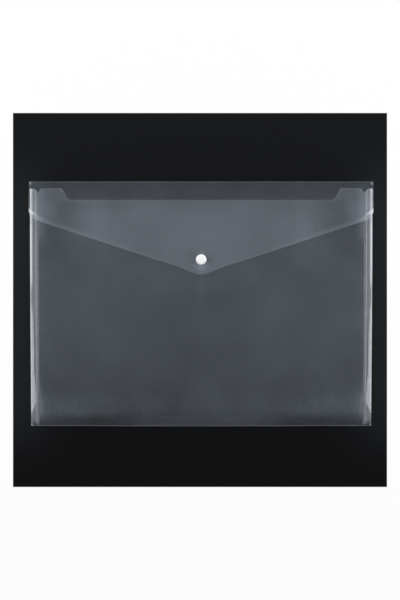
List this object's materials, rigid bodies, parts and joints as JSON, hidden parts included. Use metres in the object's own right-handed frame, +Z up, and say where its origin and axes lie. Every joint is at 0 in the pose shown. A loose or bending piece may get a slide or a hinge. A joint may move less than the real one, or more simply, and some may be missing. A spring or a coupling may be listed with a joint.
{
  "type": "document wallet",
  "caption": "Clear film document wallet with a side-gusseted pocket, a finger recess and a pointed flap that folds over and closes with a white press stud.",
  "frame": {"origin": "under the middle of the wallet, on the surface that its back panel lies on", "axes": "+X across the width, +Y from the bottom fold to the flap fold, +Z up, out of the front"},
  "size_m": [0.3354, 0.24, 0.0116],
  "materials": {
    "clear_film": "clear polypropylene film, glossy with a faint haze",
    "white_plastic": "smooth moulded plastic"
  },
  "bodies": {
    "back": {"back_panel": "clear_film", "bottom_fold": "clear_film", "left_weld_flange": "clear_film", "right_weld_flange": "clear_film", "left_gusset": "clear_film", "right_gusset": "clear_film"},
    "front": {"front_panel": "clear_film", "snap_stud": "white_plastic", "snap_back_cap": "white_plastic"},
    "spine": {"flap_spine": "clear_film"},
    "flap": {"flap_panel": "clear_film", "snap_cap": "white_plastic", "snap_socket": "white_plastic"}
  },
  "joints": [
    {"name": "spine_fold", "type": "hinge", "parent": "back", "child": "spine", "pos_m": [0, 0.11985, 0.00015], "axis": [-1, 0, 0], "range_deg": [0, 90]},
    {"name": "flap_fold", "type": "hinge", "parent": "spine", "child": "flap", "pos_m": [0, 0.11985, 0.0072], "axis": [-1, 0, 0], "range_deg": [0, 86]},
    {"name": "pocket_squeeze", "type": "hinge", "parent": "back", "child": "front", "pos_m": [0, -0.1194, 0.0006], "axis": [-1, 0, 0], "range_deg": [0, 1.4], "stiffness_Nm_per_rad": 1.5, "springref_deg": -1.49}
  ]
}
